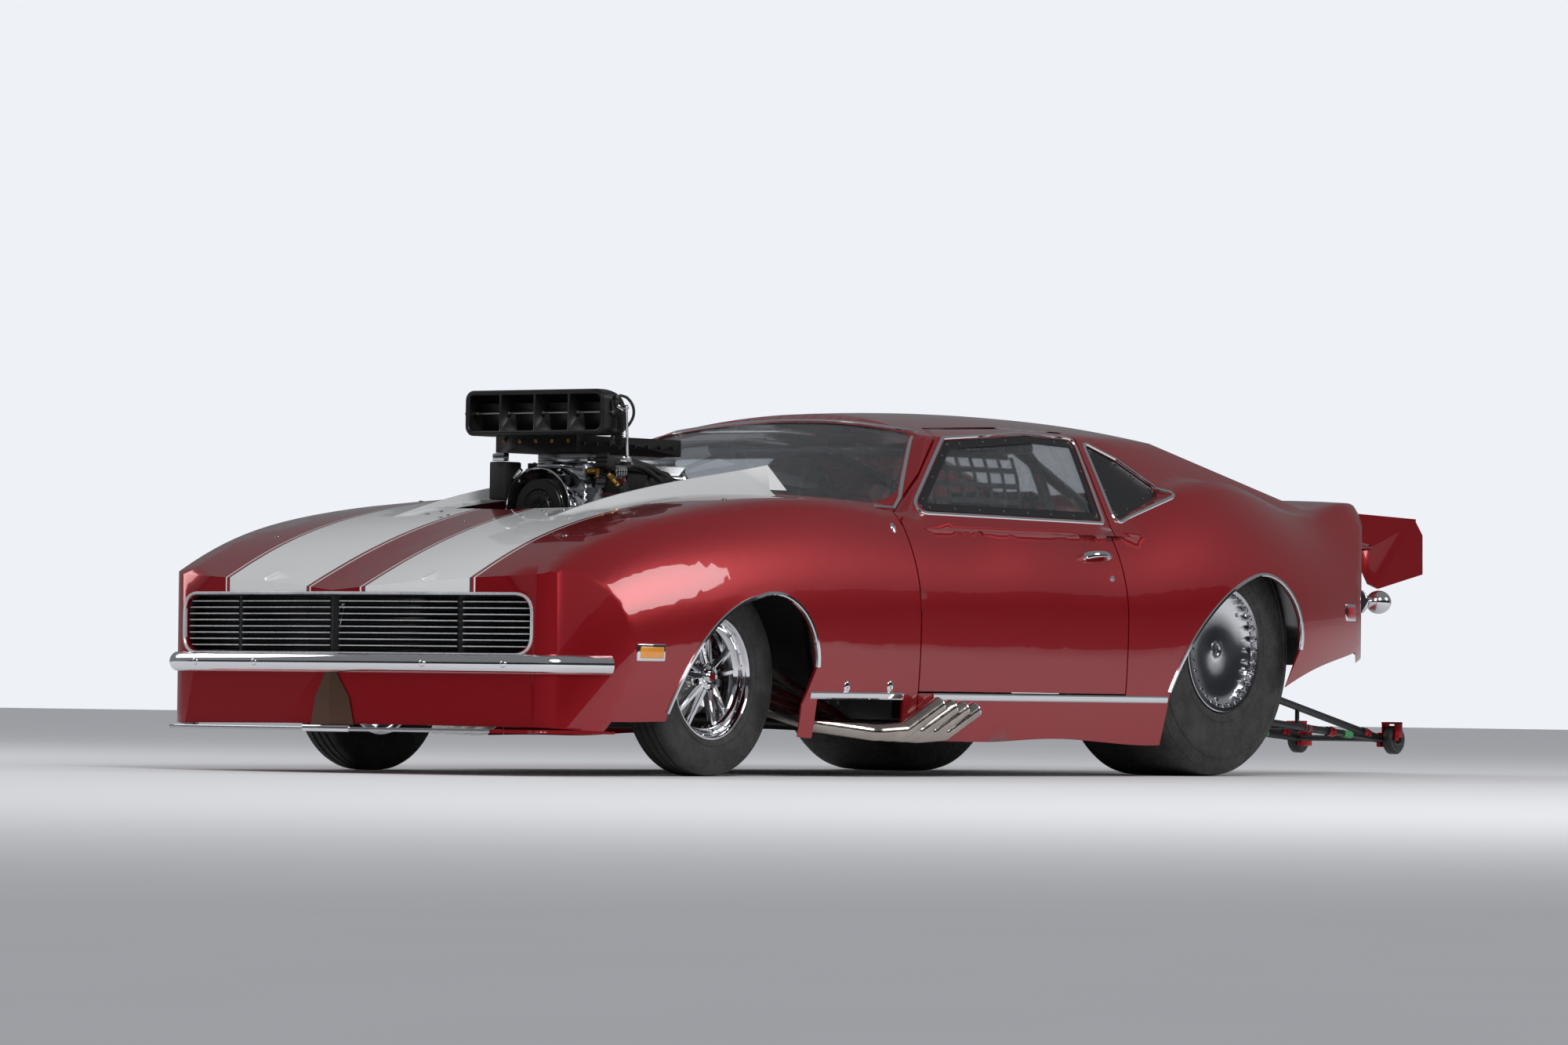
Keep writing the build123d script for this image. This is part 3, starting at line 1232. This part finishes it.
# Exhaust pipes
PIPE_WALL = 3.0
with BuildPart() as headers:
    for side in (1, -1):
        for points in PIPES:
            route = [(rear(a), side * y, z) for a, y, z in points]
            add(tube(route, PIPE_R, PIPE_BEND))
        for points in PIPES:
            route = [(rear(a), side * y, z) for a, y, z in points]
            beyond = along(route[-2], route[-1], 1.05)
            add(cylinder_between(route[-2], beyond, PIPE_R - PIPE_WALL), mode=Mode.SUBTRACT)
        tie = [along(points[-1], points[-2], 0.35) for points in (PIPES[0], PIPES[-1])]
        ends = [(rear(a), side * y, z + PIPE_R - 2) for a, y, z in tie]
        add(cylinder_between(ends[0], ends[1], 7))
save(headers, "headers")

# Bumpers
BUMPER_Z = (330.0, 394.0)
BUMPER_DEPTH = 27.0
BUMPER_TIP = 700.0
REAR_BUMPER_Z = (606.0, 690.0)
REAR_BUMPER_TIP = 985.0


def bumper_blade(corners, z_low, z_high, depth, corner_r, outward):
    """Half of a blade bumper swept round the body's outline; corners are plan points from the middle out."""
    start, second = corners[0], corners[1]
    middle_z = (z_low + z_high) / 2
    half = (z_high - z_low) / 2
    lead = Vector(second[0] - start[0], second[1] - start[1]).normalized() * 40
    first = (start[0] - lead.X, start[1] - lead.Y)
    points = [(x, y, middle_z) for x, y in [first] + corners[1:]]
    with BuildPart() as blade:
        with BuildLine():
            FilletPolyline(*points, radius=corner_r)
        direction = Vector(*points[1]) - Vector(*points[0])
        with BuildSketch(Plane(origin=points[0], x_dir=(0, 0, 1), z_dir=direction)):
            with BuildLine():
                Polyline((-half, 0), (-half, outward * depth * 0.2))
                ThreePointArc(
                    (-half, outward * depth * 0.2), (0, outward * depth), (half, outward * depth * 0.2)
                )
                Polyline((half, outward * depth * 0.2), (half, 0), (-half, 0))
            make_face()
        sweep()
        with Locations((0, SIDE_Y, middle_z)):
            Box(2 * OVERALL_LENGTH, 2 * SIDE_Y, 400, mode=Mode.INTERSECT)
    return blade.part


with BuildPart() as front_bumper:
    nose = front(NOSE_AHEAD) + SEAT_GAP
    corner = (nose - NOSE_V_SETBACK, NOSE_HALF_WIDTH + SEAT_GAP)
    slope = (SIDE_Y - 110 - NOSE_HALF_WIDTH) / (front(NOSE_AHEAD) - NOSE_V_SETBACK - front(480))
    tip = (front(BUMPER_TIP), corner[1] + slope * (corner[0] - front(BUMPER_TIP)))
    blade = bumper_blade([(nose, 0), corner, tip], *BUMPER_Z, BUMPER_DEPTH, NOSE_CORNER_R, 1)
    add(blade)
    add(blade.mirror(Plane.XZ))
save(front_bumper, "front_bumper")

with BuildPart() as rear_bumper:
    tail = rear(-TAIL_BEHIND) - SEAT_GAP
    corner = (tail + TAIL_SETBACK, TAIL_HALF_WIDTH + SEAT_GAP)
    slope = (SIDE_Y - 110 - TAIL_HALF_WIDTH) / (rear(-700) - (rear(-TAIL_BEHIND) + TAIL_SETBACK))
    tip = (rear(-REAR_BUMPER_TIP), corner[1] + slope * (rear(-REAR_BUMPER_TIP) - corner[0]))
    blade = bumper_blade([(tail, 0), corner, tip], *REAR_BUMPER_Z, BUMPER_DEPTH, TAIL_CORNER_R, -1)
    add(blade)
    add(blade.mirror(Plane.XZ))
save(rear_bumper, "rear_bumper")

# Grille: thin bars in four panels, set behind the nose
GRILLE_DEPTH = 26.0
GRILLE_BACK = 4.0
GRILLE_BORDER = 7.0
GRILLE_BARS = 8
GRILLE_BAR = 6.0
PANEL_SPLIT_Y = 470.0
with BuildPart() as grille:
    add(plan_form(SHELL_WALL + SEAT_GAP))
    add(plan_form(SHELL_WALL + SEAT_GAP + GRILLE_DEPTH), mode=Mode.SUBTRACT)
    add(grille_cut(front(700), front(1200), -GRILLE_BORDER), mode=Mode.INTERSECT)
    low, high = GRILLE_Z[0] + GRILLE_BORDER / 2, GRILLE_Z[1] - GRILLE_BORDER / 2
    slot = (high - low - GRILLE_BARS * GRILLE_BAR) / (GRILLE_BARS + 1)
    with BuildPart(mode=Mode.PRIVATE) as slots:
        for i in range(GRILLE_BARS + 1):
            z = low + slot / 2 + i * (slot + GRILLE_BAR)
            for y_from, y_to in ((14, PANEL_SPLIT_Y - 7), (PANEL_SPLIT_Y + 7, GRILLE_HALF_WIDTH)):
                for side in (1, -1):
                    with Locations((front(900), side * (y_from + y_to) / 2, z)):
                        Box(500, y_to - y_from, slot)
        add(grille_cut(front(700), front(1200), GRILLE_BORDER / 2), mode=Mode.INTERSECT)
        add(plan_form(SHELL_WALL + SEAT_GAP + GRILLE_DEPTH - GRILLE_BACK), mode=Mode.SUBTRACT)
    add(slots.part, mode=Mode.SUBTRACT)
save(grille, "grille")

# Splitter below the nose, and the deck spoiler with its side plates
SPLITTER_WALL = 12.0
SPLITTER_REACH = 35.0
SPLITTER_Z = 138.0
BRACKET_WALL = 4.0
with BuildPart() as splitter:
    with BuildSketch(Plane.XY.offset(SPLITTER_Z)):
        with BuildLine():
            nose = front(NOSE_AHEAD) + SPLITTER_REACH
            edge = Polyline(
                (nose, 0), (nose - NOSE_V_SETBACK, NOSE_HALF_WIDTH),
                (front(760), 868), (front(640), 868), (front(640), 0)
            )
            mirror(edge, about=Plane.XZ)
        make_face()
        corners = vertices().filter_by(lambda v: abs(abs(v.Y) - NOSE_HALF_WIDTH) < 1)
        fillet(corners, NOSE_CORNER_R * 0.8)
    extrude(amount=SPLITTER_WALL - SEAT_GAP)
    with BuildPart(mode=Mode.PRIVATE) as bracket:
        with BuildSketch(Plane.YZ.offset(front(NOSE_AHEAD - 200))):
            with BuildLine():
                edge = Polyline((0, SPLITTER_Z + 6), (95, SPLITTER_Z + 6), (72, 250), (24, 329), (0, 329))
                mirror(edge, about=Plane.YZ)
            make_face()
        extrude(amount=400)
        add(plan_form(-SEAT_GAP - BRACKET_WALL), mode=Mode.INTERSECT)
        add(plan_form(-SEAT_GAP), mode=Mode.SUBTRACT)
    add(bracket.part)
    add(LOWER, mode=Mode.SUBTRACT)
save(splitter, "front_splitter")

SPOILER_Z = 974.0
SPOILER_HALF_WIDTH = 718.0
SPOILER_WALL = 10.0
SPOILER_END = 1505.0  # behind the rear axle
SPILL_PLATE = [(-950, SPOILER_Z + 4), (-1496, 966), (-1553, 908), (-1556, 760), (-1246, 700), (-1180, 716)]
with BuildPart() as rear_spoiler:
    with BuildSketch(Plane.XZ.offset(-SPOILER_HALF_WIDTH)):
        with BuildLine():
            Polyline(
                (rear(-870), 900), (rear(-870), SPOILER_Z + SPOILER_WALL),
                (rear(-SPOILER_END), SPOILER_Z - 6),
                (rear(-SPOILER_END), SPOILER_Z - 6 - SPOILER_WALL),
                (rear(-930), SPOILER_Z - 2), (rear(-930), 900), close=True,
            )
        make_face()
    extrude(amount=2 * SPOILER_HALF_WIDTH)
    for side in (1, -1):
        with BuildSketch(Plane.XZ.offset(-side * SPOILER_HALF_WIDTH)):
            with BuildLine():
                Polyline(*[(rear(a), z) for a, z in SPILL_PLATE], close=True)
            make_face()
        extrude(amount=side * 7)
        for y in (250, 520):
            add(cylinder_between(
                (rear(-TAIL_BEHIND + 5), side * y, 810), (rear(-1440), side * y, SPOILER_Z - 12), 7,
            ))
    add(lower_body(-SEAT_GAP), mode=Mode.SUBTRACT)
    add(cabin(-SEAT_GAP), mode=Mode.SUBTRACT)
save(rear_spoiler, "rear_spoiler")

# Tail lamps on the rear panel
LAMP_Z = (735.0, 835.0)
LAMPS_Y = ((250.0, 420.0), (440.0, 640.0))
LAMP_DEPTH = 12.0
with BuildPart() as tail_lamps:
    add(plan_form(-LAMP_DEPTH))
    add(plan_form(-SEAT_GAP), mode=Mode.SUBTRACT)
    with BuildSketch(Plane.YZ.offset(rear(-1300))):
        for side in (1, -1):
            for y_from, y_to in LAMPS_Y:
                with Locations((side * (y_from + y_to) / 2, (LAMP_Z[0] + LAMP_Z[1]) / 2)):
                    RectangleRounded(y_to - y_from, LAMP_Z[1] - LAMP_Z[0], 14)
    extrude(amount=400, mode=Mode.INTERSECT)
save(tail_lamps, "tail_lamps")

# Wells over the rear tyres
WELL_R = REAR_TYRE_R + 20
with BuildPart() as rear_tubs:
    for side in (1, -1):
        y_from, y_to = REAR_TRACK / 2 - REAR_TYRE_WIDTH / 2 - 26, 960
        with BuildSketch(Plane.XZ.offset(-side * y_from)):
            with Locations((REAR_AXLE_X, REAR_TYRE_R)):
                Circle(WELL_R + SHEET)
                Circle(WELL_R, mode=Mode.SUBTRACT)
            with Locations((REAR_AXLE_X, REAR_TYRE_R - 400)):
                Rectangle(1200, 700, mode=Mode.SUBTRACT)
        extrude(amount=-side * (y_to - y_from))
        with BuildSketch(Plane.XZ.offset(-side * y_from)):
            with Locations((REAR_AXLE_X, REAR_TYRE_R)):
                Circle(WELL_R + SHEET)
            with Locations((REAR_AXLE_X, REAR_TYRE_R - 500)):
                Rectangle(1200, 1130, mode=Mode.SUBTRACT)
        extrude(amount=side * SHEET)
    add(inner_form.part, mode=Mode.INTERSECT)
save(rear_tubs, "rear_tubs")

# Four rear links and two spring units
SPRING_Y = 165.0
with BuildPart() as rear_links:
    for side in (1, -1):
        for z, front_z in (
            (REAR_TYRE_R + LINK_Z, REAR_TYRE_R + 40), (REAR_TYRE_R - LINK_Z, REAR_TYRE_R - 150)
        ):
            add(cylinder_between(
                (REAR_AXLE_X, side * (LINK_Y - 30), z), (rear(560), side * (LINK_Y - 30), front_z), 15,
            ))
            add(cylinder_between(
                (REAR_AXLE_X, side * (LINK_Y - 52), z), (REAR_AXLE_X, side * (LINK_Y - 8.3), z), 20,
            ))
            inner = REAR_RAIL_Y + RAIL_R + SEAT_GAP
            add(cylinder_between(
                (rear(560), side * inner, front_z), (rear(560), side * (LINK_Y - 8.3), front_z), 20,
            ))
        low = (REAR_AXLE_X - AXLE_TUBE_R - SEAT_GAP - 20, side * SPRING_Y, REAR_TYRE_R)
        high = (rear(-150), side * SPRING_Y, SPRING_TOP_Z - CROSS_R - SEAT_GAP - 20)
        for eye in (low, high):
            add(cylinder_between(
                (eye[0], side * (SPRING_Y - 14), eye[2]), (eye[0], side * (SPRING_Y + 14), eye[2]), 20,
            ))
        add(cylinder_between(low, high, 16))
        add(cylinder_between(along(low, high, 0.25), along(low, high, 0.8), 34))
save(rear_links, "rear_suspension")

# Dash panel and steering wheel
DASH_HALF_WIDTH = 600.0
WHEEL_CENTRE = (rear(1500), DRIVER_Y, 790)
COLUMN_AXIS = Vector(-1, 0, 0.15).normalized()
COLUMN_R = 16.0
dash_back = rear(1925) - CAGE_R - SEAT_GAP
column_end = tuple(Vector(*WHEEL_CENTRE) - COLUMN_AXIS * 440)
with BuildPart() as dash:
    with BuildSketch(Plane.XZ.offset(-DASH_HALF_WIDTH)):
        with BuildLine():
            Polyline(
                (rear(1860), 690), (rear(1800), 800), (rear(1830), 850),
                (dash_back, 852), (dash_back, 700), close=True,
            )
        make_face()
    extrude(amount=2 * DASH_HALF_WIDTH)
    add(cylinder_between(WHEEL_CENTRE, column_end, COLUMN_R + RUN_GAP), mode=Mode.SUBTRACT)
save(dash, "dash_panel")

with BuildPart() as steering_wheel:
    tilt = Plane(origin=WHEEL_CENTRE, z_dir=COLUMN_AXIS)
    with BuildSketch(Plane(origin=tilt.origin + tilt.x_dir * 140, x_dir=tilt.x_dir, z_dir=tilt.y_dir)):
        Circle(13)
    revolve(axis=Axis(tilt.origin, tilt.z_dir))
    with BuildSketch(tilt):
        Circle(36)
        with PolarLocations(0, 3, start_angle=90):
            with Locations((70, 0)):
                Rectangle(140, 22)
    extrude(amount=4, both=True)
    add(cylinder_between(WHEEL_CENTRE, column_end, COLUMN_R))
save(steering_wheel, "steering_wheel")
